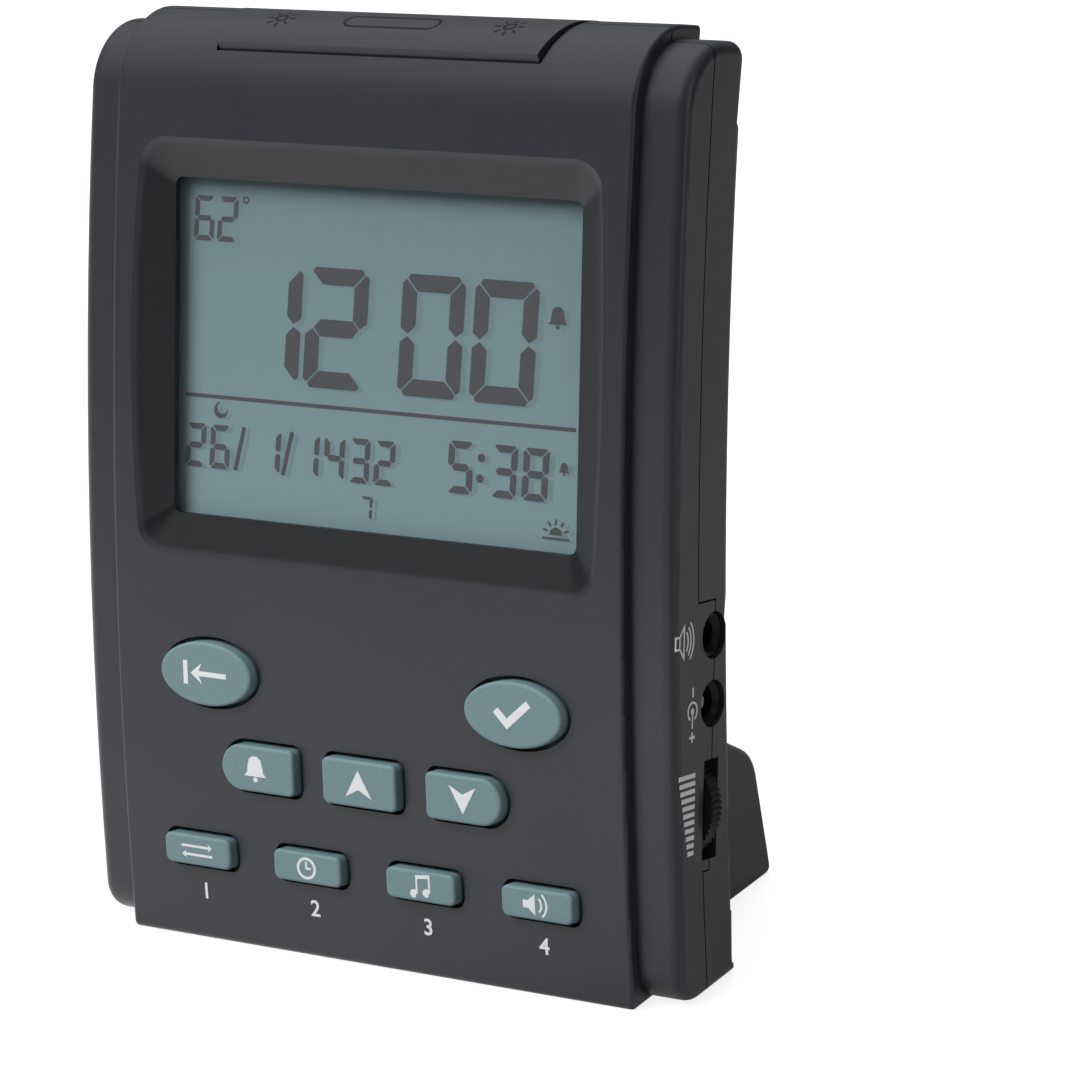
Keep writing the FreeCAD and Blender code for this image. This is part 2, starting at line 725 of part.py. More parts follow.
def jack_solid(z, bore):
    depth_start = half - 0.6 - jack_depth - 2.0
    body_y1 = min(arch_y(shell_depth - wall, z) - slack, cheek_y + 2.3)
    body = box(depth_start, half - 4.5, board_back, body_y1, z - jack_body_w / 2, z + jack_body_w / 2)
    barrel = rod(V(half - 4.5, cheek_y, z), V(1, 0, 0), jack_barrel, 3.9)
    bore_cut = rod(V(half - 0.6 - jack_depth, cheek_y, z), V(1, 0, 0), bore, jack_depth + 2)
    mouth = Part.makeCone(bore, bore + 0.7, 0.7, V(half - 1.3, cheek_y, z), V(1, 0, 0))
    return fuse(body, barrel).cut(bore_cut).cut(mouth)


wheel_x = half + wheel_out - wheel_r
wheel_y0 = cheek_y - wheel_t / 2


def volume_wheel():
    points = []
    for i in range(wheel_teeth):
        for j, r in enumerate((wheel_r, wheel_r - wheel_tooth)):
            a = 2 * math.pi * (i + (j + (0.25 if j else -0.25)) / 2) / wheel_teeth
            points.append(V(wheel_x + r * math.cos(a), wheel_y0, wheel_z + r * math.sin(a)))
            b = 2 * math.pi * (i + (j + (0.25 if j else -0.25)) / 2 + 0.12) / wheel_teeth
            points.append(V(wheel_x + r * math.cos(b), wheel_y0, wheel_z + r * math.sin(b)))
    disc = Part.Face(Part.makePolygon(points + points[:1])).extrude(V(0, wheel_t, 0))
    dish = rod(V(wheel_x, wheel_y0 + wheel_t - 0.7, wheel_z), V(0, 1, 0), wheel_r - 2.2, 2)
    bore = rod(V(wheel_x, wheel_y0 - 1, wheel_z), V(0, 1, 0), shaft_r + shaft_slack, wheel_t + 3)
    return disc.cut(dish).cut(bore)


def volume_pot():
    body = rod(V(wheel_x, board_back, wheel_z), V(0, 1, 0), 6.0, wheel_y0 - slack - board_back)
    body = body.common(box(0, half - wall - 0.4, 0, 40, 0, 60))
    shaft = rod(V(wheel_x, board_back, wheel_z), V(0, 1, 0), shaft_r, wheel_y0 + wheel_t + 0.3 - board_back)
    return fuse(body, shaft)


def speaker_parts():
    seat = arch_y(shell_depth - wall, speaker_z + speaker_r)
    seat = min(seat, arch_y(shell_depth - wall, speaker_z))
    axis = V(0, -1, 0)
    rim = rod(V(0, seat - 0.1, speaker_z), axis, speaker_r, 1.4)
    bowl = Part.makeCone(speaker_r - 0.8, magnet_r + 1.5, 2.6, V(0, seat - 1.5, speaker_z), axis)
    inner_bowl = Part.makeCone(speaker_r - 1.6, magnet_r + 0.7, 2.61, V(0, seat - 1.49, speaker_z), axis)
    window = rod(V(0, seat + 1, speaker_z), axis, speaker_r - 1.6, 2.5)
    frame = fuse(rim, bowl).cut(inner_bowl).cut(window)
    cone = Part.makeCone(speaker_r - 2.0, 4.5, 1.6, V(0, seat - 1.2, speaker_z), axis)
    cone = cone.cut(Part.makeCone(speaker_r - 2.6, 3.9, 1.6, V(0, seat - 0.9, speaker_z), axis))
    magnet = rod(V(0, seat - 4.1, speaker_z), axis, magnet_r, 1.3)
    return frame, cone, magnet


def case_screws():
    screws = []
    for z in screw_z:
        for x in (-screw_x, screw_x):
            seat = arch_y(shell_depth, z) - screw_head_t - 0.6
            head = rod(V(x, seat, z), V(0, 1, 0), screw_head, screw_head_t)
            slot = box(x - 1.4, x + 1.4, seat + 1.0, seat + 4, z - 0.3, z + 0.3)
            cross = box(x - 0.3, x + 0.3, seat + 1.0, seat + 4, z - 1.4, z + 1.4)
            shank_end = arch_y(part_depth, z) - 3.5
            shank = rod(V(x, shank_end, z), V(0, 1, 0), screw_shank - 0.15, seat - shank_end)
            screws.append(fuse(head, shank).cut(fuse(slot, cross)))
    return Part.makeCompound(screws)


def board_screws():
    screws = []
    for x, z in peg_places:
        head = rod(V(x, board_back, z), V(0, 1, 0), 2.2, 1.5)
        screws.append(head.cut(rod(V(x, board_back - 1, z), V(0, 1, 0), peg_r, 2.0)))
    return Part.makeCompound(screws)


outer_body = case_body(0, True)
inner_body = case_body(wall, False)
lens, lcd, light, zebra, holder = display_parts()
switch, switch_seat = bar_switch()
speaker_frame, speaker_cone, speaker_magnet = speaker_parts()

nodes = {
    "front_case": front_case(outer_body, inner_body),
    "rear_case": rear_case(outer_body, inner_body, switch_seat),
    "battery_door": battery_door(),
    "display_window": lens,
    "lcd_glass": lcd,
    "backlight_plate": light,
    "lcd_holder": holder,
    "zebra_strip": zebra,
    "main_board": main_board(),
    "board_chips": board_chips(),
    "keypad_mat": keypad_mat(),
    "top_bar": top_bar(),
    "top_bar_switch": switch,
    "switch_board": switch_board(switch_seat),
    "speaker_frame": speaker_frame,
    "speaker_cone": speaker_cone,
    "speaker_magnet": speaker_magnet,
    "volume_wheel": volume_wheel(),
    "volume_pot": volume_pot(),
    "audio_jack": jack_solid(jack_z[0], audio_bore),
    "dc_jack": jack_solid(jack_z[1], dc_bore),
    "dc_jack_pin": rod(V(half - 0.6 - jack_depth - 0.0, cheek_y, jack_z[1]), V(1, 0, 0), dc_pin, jack_depth - 1.2),
    "battery_front": cell(cell_places[0], False),
    "battery_rear": cell(cell_places[1], True),
    "battery_contacts": battery_contacts(),
    "case_screws": case_screws(),
    "board_screws": board_screws(),
}
for name, key in keys.items():
    nodes[name] = key_solid(key)


def stand_up(shapes):
    # lean the clock back, then put the middle of its box over the origin with the table at zero
    turned = {}
    for name, shape in shapes.items():
        copy = shape.copy()
        copy.rotate(V(0, 0, 0), V(1, 0, 0), -lean)
        turned[name] = copy
    whole = Part.makeCompound(list(turned.values())).optimalBoundingBox(False, False)
    shift = V(-(whole.XMin + whole.XMax) / 2, -(whole.YMin + whole.YMax) / 2, -whole.ZMin)
    for shape in turned.values():
        shape.translate(shift)
    return turned, shift


standing, shift = stand_up(nodes)
os.makedirs("parts", exist_ok=True)
for name, shape in standing.items():
    shape.exportStep("parts/" + name + ".step")
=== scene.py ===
import math

import bmesh
import bpy
from mathutils import Matrix, Vector


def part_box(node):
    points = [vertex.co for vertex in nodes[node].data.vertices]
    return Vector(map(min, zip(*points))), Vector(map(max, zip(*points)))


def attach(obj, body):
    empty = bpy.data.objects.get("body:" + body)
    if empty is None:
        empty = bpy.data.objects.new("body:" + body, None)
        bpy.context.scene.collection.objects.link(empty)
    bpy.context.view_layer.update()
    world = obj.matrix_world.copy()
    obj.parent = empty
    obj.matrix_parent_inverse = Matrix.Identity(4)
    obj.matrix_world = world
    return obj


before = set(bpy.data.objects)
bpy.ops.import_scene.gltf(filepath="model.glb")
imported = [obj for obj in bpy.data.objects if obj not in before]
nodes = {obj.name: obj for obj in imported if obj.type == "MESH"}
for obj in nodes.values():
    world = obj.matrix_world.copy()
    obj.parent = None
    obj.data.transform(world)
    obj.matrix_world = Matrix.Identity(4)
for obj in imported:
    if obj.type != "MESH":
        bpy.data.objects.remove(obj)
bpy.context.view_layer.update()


# The stance. The clock leans back on its foot, and every print and display mark is drawn in
# the case's own upright frame, in millimetres: x to the right, y from the face to the back, z up.
# The window plate is a plain block in that frame, so its box gives back where the case stands.
LEAN = math.radians(10.9)
WINDOW_FRONT = 4.1
WINDOW_BACK = 5.3
WINDOW_FOOT = 58.4

window_low, window_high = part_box("display_window")
stand_x = (window_low.x + window_high.x) / 2
stand_y = window_low.y - (WINDOW_FRONT * math.cos(LEAN) + WINDOW_FOOT * math.sin(LEAN)) / 1000
stand_z = window_low.z - (WINDOW_FOOT * math.cos(LEAN) - WINDOW_BACK * math.sin(LEAN)) / 1000
stand = (Matrix.Translation((stand_x, stand_y, stand_z))
         @ Matrix.Rotation(-LEAN, 4, "X") @ Matrix.Scale(0.001, 4))


# The camera looks at the clock from the right and a little above, as the photograph does.
# Its place and axes were found in the case frame from the corners of the display and case.
EYE = Vector((324.74, -483.74, 146.70))
EYE_RIGHT = Vector((0.85165, 0.52378, 0.01872))
EYE_DOWN = Vector((0.09295, -0.11579, -0.98891))
FOCAL_SHARE = 4354.76 / 1080

camera_data = bpy.data.cameras.new("camera")
camera_data.sensor_width = 36
camera_data.lens = FOCAL_SHARE * camera_data.sensor_width
camera_data.clip_start = 0.01
camera = bpy.data.objects.new("camera", camera_data)
bpy.context.scene.collection.objects.link(camera)
turn = Matrix.Rotation(-LEAN, 3, "X")
eye_x = (turn @ EYE_RIGHT).normalized()
eye_y = (turn @ -EYE_DOWN).normalized()
eye_z = eye_x.cross(eye_y)
camera.matrix_world = Matrix.Translation(stand @ EYE) @ Matrix((eye_x, eye_y, eye_z)).transposed().to_4x4()
bpy.context.scene.camera = camera
bpy.context.scene.view_settings.view_transform = "Standard"


# The table is a plain pale sheet that runs far behind the clock, with soft lamps above it.
# The camera sees sheet and backdrop as plain white, and the sheet keeps the clock's shadow.
# The studio is bright overhead and to the clock's left, and dim to its right and low down.
FLOOR_HALF = 6.0
SHEET_MATTE = (0.26, 0.26, 0.26, 1)
SHEET_GLOW = 0.84            # the sheet's own white, to which the matte part adds the lamps' light
SHEET_AWAY = (0.75, 0.66, 0)
SHEET_FADE = (-0.03, 0.045)  # metres along that direction over which the reflected sheet dims
WALL_LIGHT = 0.6             # the light of the walls on the clock, beside the white that is seen
WALL_AWAY = (1, 0, 0)
WALL_FADE = (-0.3, 0.6)
WALL_RISE = (0.42, 0.88)
DIM_SIDE = 0.15              # how bright the dim side of the studio is beside the bright one
DIM_LOW = 0.2                # and its low walls beside the ceiling
floor_mesh = bpy.data.meshes.new("floor")
floor_mesh.from_pydata([(-FLOOR_HALF, -FLOOR_HALF, 0), (FLOOR_HALF, -FLOOR_HALF, 0),
                        (FLOOR_HALF, FLOOR_HALF, 0), (-FLOOR_HALF, FLOOR_HALF, 0)], [], [(0, 1, 2, 3)])
floor = bpy.data.objects.new("floor", floor_mesh)
bpy.context.scene.collection.objects.link(floor)


def feed(tree, entry, value):
    # a node's input is linked to a socket, or holds a constant
    if isinstance(value, bpy.types.NodeSocket):
        tree.links.new(value, entry)
    else:
        entry.default_value = value


def math_node(tree, operation, first, second):
    node = tree.nodes.new("ShaderNodeMath")
    node.operation = operation
    feed(tree, node.inputs[0], first)
    feed(tree, node.inputs[1], second)
    return node.outputs[0]


def ramp_node(tree, value, start, end, low, high, smooth=False):
    # a value between two limits, spread over low to high
    node = tree.nodes.new("ShaderNodeMapRange")
    if smooth:
        node.interpolation_type = "SMOOTHSTEP"
    feed(tree, node.inputs["Value"], value)
    for name, limit in (("From Min", start), ("From Max", end), ("To Min", low), ("To Max", high)):
        feed(tree, node.inputs[name], limit)
    return node.outputs[0]


def seen_ray(tree):
    # 1 for the rays that look at the backdrop, 0 for the light that falls on the clock
    path = tree.nodes.new("ShaderNodeLightPath")
    mirrored = math_node(tree, "MAXIMUM", path.outputs["Is Camera Ray"], path.outputs["Is Glossy Ray"])
    return math_node(tree, "MAXIMUM", mirrored, path.outputs["Is Transmission Ray"])


def studio_shade(tree, away, fade, rise=None):
    # 1 in the studio's bright part, falling to its dim share along one direction; 1 for the camera itself
    place = tree.nodes.new("ShaderNodeTexCoord")
    along = tree.nodes.new("ShaderNodeVectorMath")
    along.operation = "DOT_PRODUCT"
    along.inputs[1].default_value = away
    tree.links.new(place.outputs["Object"], along.inputs[0])
    shade = ramp_node(tree, along.outputs["Value"], *fade, 1.0, DIM_SIDE, smooth=True)
    if rise:
        split = tree.nodes.new("ShaderNodeSeparateXYZ")
        tree.links.new(place.outputs["Object"], split.inputs[0])
        above = ramp_node(tree, split.outputs["Z"], *rise, DIM_LOW, 1.0, smooth=True)
        shade = math_node(tree, "MULTIPLY", shade, above)
    path = tree.nodes.new("ShaderNodeLightPath")
    return math_node(tree, "MAXIMUM", shade, path.outputs["Is Camera Ray"])


sheet_white = bpy.data.materials.new("sheet_white")
sheet_white.use_nodes = True
tree = sheet_white.node_tree
tree.nodes.clear()
surface = tree.nodes.new("ShaderNodeOutputMaterial")
matte = tree.nodes.new("ShaderNodeBsdfDiffuse")
matte.inputs["Color"].default_value = SHEET_MATTE
glow = tree.nodes.new("ShaderNodeEmission")
both = tree.nodes.new("ShaderNodeAddShader")
white_part = math_node(tree, "MULTIPLY", seen_ray(tree), SHEET_GLOW)
shade = studio_shade(tree, SHEET_AWAY, SHEET_FADE)
tree.links.new(math_node(tree, "MULTIPLY", white_part, shade), glow.inputs["Strength"])
tree.links.new(matte.outputs[0], both.inputs[0])
tree.links.new(glow.outputs[0], both.inputs[1])
tree.links.new(both.outputs[0], surface.inputs["Surface"])
floor_mesh.materials.append(sheet_white)

world = bpy.data.worlds.new("studio")
bpy.context.scene.world = world
world.use_nodes = True
tree = world.node_tree
tree.nodes.clear()
surface = tree.nodes.new("ShaderNodeOutputWorld")
background = tree.nodes.new("ShaderNodeBackground")
background.inputs["Color"].default_value = (1, 1, 1, 1)
level = ramp_node(tree, seen_ray(tree), 0.0, 1.0, WALL_LIGHT, 1.0)
shade = studio_shade(tree, WALL_AWAY, WALL_FADE, WALL_RISE)
tree.links.new(math_node(tree, "MULTIPLY", level, shade), background.inputs["Strength"])
tree.links.new(background.outputs[0], surface.inputs["Surface"])

# place, target, width, height, power, and whether it shows as a highlight
LAMPS = {
    "lamp_left": ((-0.45, -0.75, 0.95), (0, 0, 0.06), 0.8, 0.8, 15.5, False),
    "lamp_top": ((0.0, 0.2, 1.1), (0, 0, 0.08), 0.6, 0.6, 3.5, False),
    "lamp_right": ((0.95, -0.5, 0.6), (0, 0.01, 0.06), 0.6, 0.6, 1.0, False),
    "lamp_back": ((-0.35, 0.95, 0.75), (0, 0.02, 0.06), 0.7, 0.7, 9.0, False),
    "lamp_edge": ((1.1, -0.02, 0.35), (0, 0, 0.07), 0.1, 0.9, 1.2, True),
}
for lamp_name, (place, target, width, height, power, shown) in LAMPS.items():
    lamp_data = bpy.data.lights.new(lamp_name, "AREA")
    lamp_data.shape = "RECTANGLE"
    lamp_data.size = width
    lamp_data.size_y = height
    lamp_data.energy = power
    lamp = bpy.data.objects.new(lamp_name, lamp_data)
    bpy.context.scene.collection.objects.link(lamp)
    lamp.visible_glossy = shown
    lamp.location = place
    lamp.rotation_euler = (Vector(target) - Vector(place)).to_track_quat("-Z", "Y").to_euler()


# The case, its top bar and the battery door are moulded in one dark satin plastic.
# The mould is spark eroded: a fine even grain, a little shinier where hands have rubbed it.
# Down in the recess round the display the colour is darker than the grain: painted shade, with no change of
# finish.
CASE_DARK = (0.021, 0.0222, 0.0282, 1)
CASE_PALE = (0.0285, 0.03, 0.0376, 1)
CASE_GRAIN = 4200.0
FUNNEL_PAINTED_SHADE = (0.009, 0.0095, 0.012, 1)
FUNNEL_HALF_W = 38.4
FUNNEL_HALF_H = 31.0
FUNNEL_MIDDLE = 83.5
FUNNEL_LIP = (0.2, 0.6)      # depths under the bowed face between which the painted shade begins
FUNNEL_EDGE = 0.2            # width over which the painted shade ends beside the recess
FACE_RADIUS = 605.0
SPECKLE_SHARE = 0.45         # the speckle's scale beside the grain's
GLOSS_SPREAD = 0.05          # how far the roughness strays where the surface is rubbed


def socket(tree, name, way, kind, value=None):
    made = tree.interface.new_socket(name=name, in_out=way, socket_type=kind)
    if value is not None:
        made.default_value = value
    return made


def new_node(tree, kind, **values):
    # a node whose unlinked inputs are given by name
    node = tree.nodes.new(kind)
    for name, value in values.items():
        node.inputs[name.replace("_", " ")].default_value = value
    return node


moulded = bpy.data.node_groups.new("moulded_grain", "ShaderNodeTree")
socket(moulded, "Vector", "INPUT", "NodeSocketVector")
socket(moulded, "Grain", "INPUT", "NodeSocketFloat", 4000.0)
socket(moulded, "Rubbed", "INPUT", "NodeSocketFloat", 30.0)
socket(moulded, "Height", "OUTPUT", "NodeSocketFloat")
socket(moulded, "Speckle", "OUTPUT", "NodeSocketFloat")
socket(moulded, "Polish", "OUTPUT", "NodeSocketFloat")
group_in = moulded.nodes.new("NodeGroupInput")
group_out = moulded.nodes.new("NodeGroupOutput")
grain = new_node(moulded, "ShaderNodeTexNoise", Detail=3.0, Roughness=0.6)
speckle = new_node(moulded, "ShaderNodeTexNoise", Detail=2.0, Roughness=0.7)
rubbed = new_node(moulded, "ShaderNodeTexNoise", Detail=4.0, Roughness=0.55, Distortion=0.3)
half_grain = math_node(moulded, "MULTIPLY", group_in.outputs["Grain"], SPECKLE_SHARE)
for texture in (grain, speckle, rubbed):
    moulded.links.new(group_in.outputs["Vector"], texture.inputs["Vector"])
moulded.links.new(group_in.outputs["Grain"], grain.inputs["Scale"])
moulded.links.new(half_grain, speckle.inputs["Scale"])
moulded.links.new(group_in.outputs["Rubbed"], rubbed.inputs["Scale"])
moulded.links.new(grain.outputs["Fac"], group_out.inputs["Height"])
moulded.links.new(speckle.outputs["Fac"], group_out.inputs["Speckle"])
moulded.links.new(rubbed.outputs["Fac"], group_out.inputs["Polish"])


def mixed(tree, share, first, second):
    # a colour between two others
    node = tree.nodes.new("ShaderNodeMix")
    node.data_type = "RGBA"
    feed(tree, node.inputs[0], share)
    feed(tree, node.inputs[6], first)
    feed(tree, node.inputs[7], second)
    return node.outputs[2]


def moulded_plastic(name, dark, pale, grain_size, rough, shine, depth):
    # plastic whose colour, roughness and bump all come from the same moulded grain
    material = bpy.data.materials.new(name)
    material.use_nodes = True
    tree = material.node_tree
    shader = tree.nodes["Principled BSDF"]
    place = tree.nodes.new("ShaderNodeTexCoord")
    group = tree.nodes.new("ShaderNodeGroup")
    group.node_tree = moulded
    group.inputs["Grain"].default_value = grain_size
    tree.links.new(place.outputs["Object"], group.inputs["Vector"])
    tree.links.new(mixed(tree, group.outputs["Speckle"], dark, pale), shader.inputs["Base Color"])
    gloss = ramp_node(tree, group.outputs["Polish"], 0.3, 0.7, rough - GLOSS_SPREAD, rough + GLOSS_SPREAD)
    tree.links.new(gloss, shader.inputs["Roughness"])
    bump = new_node(tree, "ShaderNodeBump", Strength=0.5, Distance=depth)
    tree.links.new(group.outputs["Height"], bump.inputs["Height"])
    tree.links.new(bump.outputs["Normal"], shader.inputs["Normal"])
    shader.inputs["Specular IOR Level"].default_value = shine
    return material


def dress(material, *names):
    for name in names:
        mesh = nodes[name].data
        mesh.materials.clear()
        mesh.materials.append(material)


def case_frame(tree):
    # a point's place in the case's own upright frame, in millimetres
    place = tree.nodes.new("ShaderNodeTexCoord")
    upright = tree.nodes.new("ShaderNodeMapping")
    upright.inputs["Scale"].default_value = (1000, 1000, 1000)
    upright.inputs["Rotation"].default_value = (LEAN, 0, 0)
    upright.inputs["Location"].default_value = stand.inverted().translation
    tree.links.new(place.outputs["Object"], upright.inputs["Vector"])
    split = tree.nodes.new("ShaderNodeSeparateXYZ")
    tree.links.new(upright.outputs[0], split.inputs[0])
    return split.outputs


case_plastic = moulded_plastic("case_plastic", CASE_DARK, CASE_PALE,
                               grain_size=CASE_GRAIN, rough=0.36, shine=0.5, depth=0.00003)
dress(case_plastic, "rear_case", "battery_door", "top_bar")

front_plastic = moulded_plastic("front_plastic", CASE_DARK, CASE_PALE,
                                grain_size=CASE_GRAIN, rough=0.36, shine=0.5, depth=0.00003)
tree = front_plastic.node_tree
shader = tree.nodes["Principled BSDF"]
case_x, case_y, case_z = case_frame(tree)
spread = math_node(tree, "ABSOLUTE", case_x, 0)
beside = ramp_node(tree, spread, FUNNEL_HALF_W, FUNNEL_HALF_W + FUNNEL_EDGE, 1.0, 0.0)
rise = math_node(tree, "ABSOLUTE", math_node(tree, "SUBTRACT", case_z, FUNNEL_MIDDLE), 0)
within = ramp_node(tree, rise, FUNNEL_HALF_H, FUNNEL_HALF_H + FUNNEL_EDGE, 1.0, 0.0)
bow = math_node(tree, "DIVIDE", math_node(tree, "MULTIPLY", rise, rise), 2 * FACE_RADIUS)
deep = ramp_node(tree, math_node(tree, "SUBTRACT", case_y, bow), *FUNNEL_LIP, 0.0, 1.0, smooth=True)
# painted shade: inside the recess the grain's colour gives way to a darker one
funnel = math_node(tree, "MULTIPLY", math_node(tree, "MULTIPLY", beside, within), deep)
grain_with_painted_shade = mixed(tree, funnel, tree.nodes["Mix"].outputs[2], FUNNEL_PAINTED_SHADE)
tree.links.new(grain_with_painted_shade, shader.inputs["Base Color"])
dress(front_plastic, "front_case")


# The display is a grey-green liquid crystal glass behind a clear acrylic window plate.
# The glass has a polariser film with a barely visible weave, and is a little darker at the top.
LCD_TOP = (0.162, 0.254, 0.276, 1)
LCD_FOOT = (0.205, 0.318, 0.338, 1)
LCD_LOW = 0.062
LCD_HIGH = 0.108

lcd_film = bpy.data.materials.new("lcd_film")
lcd_film.use_nodes = True
tree = lcd_film.node_tree
shader = tree.nodes["Principled BSDF"]
place = tree.nodes.new("ShaderNodeTexCoord")
split = tree.nodes.new("ShaderNodeSeparateXYZ")
tree.links.new(place.outputs["Object"], split.inputs[0])
rise = ramp_node(tree, split.outputs["Z"], LCD_LOW, LCD_HIGH, 0.0, 1.0)
film = new_node(tree, "ShaderNodeTexNoise", Scale=5200.0, Detail=1.0)
tree.links.new(place.outputs["Object"], film.inputs["Vector"])
cloud = new_node(tree, "ShaderNodeTexNoise", Scale=22.0, Detail=2.0)
tree.links.new(place.outputs["Object"], cloud.inputs["Vector"])
mottle = ramp_node(tree, film.outputs["Fac"], 0.0, 1.0, 0.96, 1.04)
shade = tree.nodes.new("ShaderNodeVectorMath")
shade.operation = "SCALE"
tree.links.new(mixed(tree, rise, LCD_FOOT, LCD_TOP), shade.inputs[0])
tree.links.new(mottle, shade.inputs["Scale"])
tree.links.new(shade.outputs[0], shader.inputs["Base Color"])
haze = ramp_node(tree, cloud.outputs["Fac"], 0.0, 1.0, 0.28, 0.4)
tree.links.new(haze, shader.inputs["Roughness"])
shader.inputs["Specular IOR Level"].default_value = 0.25
dress(lcd_film, "lcd_glass")

window_clear = bpy.data.materials.new("window_clear")
window_clear.use_nodes = True
tree = window_clear.node_tree
shader = tree.nodes["Principled BSDF"]
place = tree.nodes.new("ShaderNodeTexCoord")
wipe = new_node(tree, "ShaderNodeTexNoise", Scale=60.0, Detail=3.0, Distortion=0.6)
tree.links.new(place.outputs["Object"], wipe.inputs["Vector"])
smear = ramp_node(tree, wipe.outputs["Fac"], 0.0, 1.0, 0.03, 0.09)
tree.links.new(smear, shader.inputs["Roughness"])
shader.inputs["Base Color"].default_value = (0.3, 0.33, 0.33, 1)
shader.inputs["Alpha"].default_value = 0.05
dress(window_clear, "display_window")


# Behind the glass sit a white light plate, a pale holder and a banded rubber strip that joins
# the glass to the board. The strip's fine dark and pale bands are its carbon layers.
light_white = moulded_plastic("light_white", (0.62, 0.64, 0.62, 1), (0.72, 0.74, 0.72, 1),
                              grain_size=900.0, rough=0.5, shine=0.4, depth=0.00002)
holder_white = moulded_plastic("holder_white", (0.52, 0.52, 0.49, 1), (0.6, 0.6, 0.57, 1),
                               grain_size=2500.0, rough=0.45, shine=0.4, depth=0.00003)
dress(light_white, "backlight_plate")
dress(holder_white, "lcd_holder")

BAND_DARK = (0.05, 0.05, 0.05, 1)
BAND_PALE = (0.42, 0.41, 0.39, 1)
banded_rubber = moulded_plastic("banded_rubber", BAND_DARK, BAND_PALE,
                                grain_size=3000.0, rough=0.75, shine=0.3, depth=0.00004)
tree = banded_rubber.node_tree
place = tree.nodes["Texture Coordinate"]
bands = new_node(tree, "ShaderNodeTexWave", Scale=260.0)
bands.bands_direction = "X"
tree.links.new(place.outputs["Object"], bands.inputs["Vector"])
stripe = mixed(tree, bands.outputs["Fac"], BAND_DARK, BAND_PALE)
tree.links.new(stripe, tree.nodes["Principled BSDF"].inputs["Base Color"])
dress(banded_rubber, "zebra_strip")


# The display's digits are electrode shapes in the glass: seven mitred bars to a figure, the
# whole figure leaning a little. Their shadow on the backing is painted as a faint darker copy.
LCD_FRONT = 5.6
GLASS_PLANE = 3.1            # the marks' places were measured in the plane of the window's edge
FIGURE_SLANT = math.tan(math.radians(3.2))
BARS_OF = {0: "abcdef", 1: "bc", 2: "abged", 3: "abgcd", 4: "fgbc", 5: "afgcd", 6: "afgedc", 7: "abc",
           8: "abcdefg"}


def set_piece(name, mesh, body):
    # a finished mesh becomes a piece that moves with one body
    piece = bpy.data.objects.new(name, mesh)
    bpy.context.scene.collection.objects.link(piece)
    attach(piece, body)
    return piece


def flat_piece(name, shapes, place, low, high, material, body):
    # prints or figures: flat outlines joined where they meet, given a thickness, then laid on a surface
    bm = bmesh.new()
    for shape in shapes:
        bm.faces.new([bm.verts.new((u, v, low)) for u, v in shape])
    bmesh.ops.remove_doubles(bm, verts=bm.verts, dist=1e-5)
    bmesh.ops.triangulate(bm, faces=bm.faces, ngon_method="EAR_CLIP")
    bmesh.ops.recalc_face_normals(bm, faces=bm.faces)
    raised = bmesh.ops.extrude_face_region(bm, geom=list(bm.faces))
    for item in raised["geom"]:
        if isinstance(item, bmesh.types.BMVert):
            item.co.z = high
    for vert in bm.verts:
        vert.co = Vector(place(*vert.co))
    bmesh.ops.recalc_face_normals(bm, faces=bm.faces)
    mesh = bpy.data.meshes.new(name)
    bm.to_mesh(mesh)
    bm.free()
    mesh.transform(stand)
    mesh.materials.append(material)
    return set_piece(name, mesh, body)


def on_display(u, v, depth):
    # where the eye's line through a point of the window plane meets the display glass
    y = LCD_FRONT - depth
    share = (y - EYE.y) / (GLASS_PLANE - EYE.y)
    return EYE.x + (u - EYE.x) * share, y, EYE.z + (v - EYE.z) * share


def figure(digit, x, z, width, height, bar, gap):
    # the bars of one figure, as outlines; x and z are its lower left corner
    cut = 0.5 * bar
    mid = height / 2
    top = [(cut, height), (width - cut, height), (width - cut / 2 - gap, height - cut / 2),
           (width - bar - gap, height - bar), (bar + gap, height - bar), (cut / 2 + gap, height - cut / 2)]
    upper_left = [(0, height - cut), (cut / 2, height - cut / 2 - gap), (bar, height - bar - gap),
                  (bar, mid + 0.55 * bar), (0.5 * bar, mid + gap), (0, mid + 0.42 * bar)]
    middle = [(0.5 * bar + gap, mid), (bar + gap / 2, mid + bar / 2), (width - bar - gap / 2, mid + bar / 2),
              (width - 0.5 * bar - gap, mid), (width - bar - gap / 2, mid - bar / 2),
              (bar + gap / 2, mid - bar / 2)]
    bars = {
        "a": top,
        "b": [(width - u, v) for u, v in upper_left],
        "c": [(width - u, height - v) for u, v in upper_left],
        "d": [(u, height - v) for u, v in top],
        "e": [(u, height - v) for u, v in upper_left],
        "f": upper_left,
        "g": middle,
    }
    return [[(x + u + v * FIGURE_SLANT, z + v) for u, v in bars[letter]] for letter in BARS_OF[digit]]


def disc(u, v, radius, steps=20):
    return [(u + radius * math.cos(2 * math.pi * i / steps), v + radius * math.sin(2 * math.pi * i / steps))
            for i in range(steps)]


def arc_band(u, v, inner, outer, start, end, steps=18):
    # a curved strip between two radii, in short joined pieces
    def at(radius, i):
        angle = math.radians(start + (end - start) * i / steps)
        return u + radius * math.cos(angle), v + radius * math.sin(angle)
    return [[at(inner, i), at(outer, i), at(outer, i + 1), at(inner, i + 1)] for i in range(steps)]


def stroke(u0, v0, u1, v1, width):
    # a straight bar from point to point
    du, dv = u1 - u0, v1 - v0
    size = math.hypot(du, dv)
    nu, nv = -dv / size * width / 2, du / size * width / 2
    return [(u0 + nu, v0 + nv), (u0 - nu, v0 - nv), (u1 - nu, v1 - nv), (u1 + nu, v1 + nv)]


def rays(u, v, inner, outer, width, degrees):
    # short bars that point away from one place
    ways = [(math.cos(math.radians(a)), math.sin(math.radians(a))) for a in degrees]
    return [stroke(u + inner * a, v + inner * b, u + outer * a, v + outer * b, width) for a, b in ways]


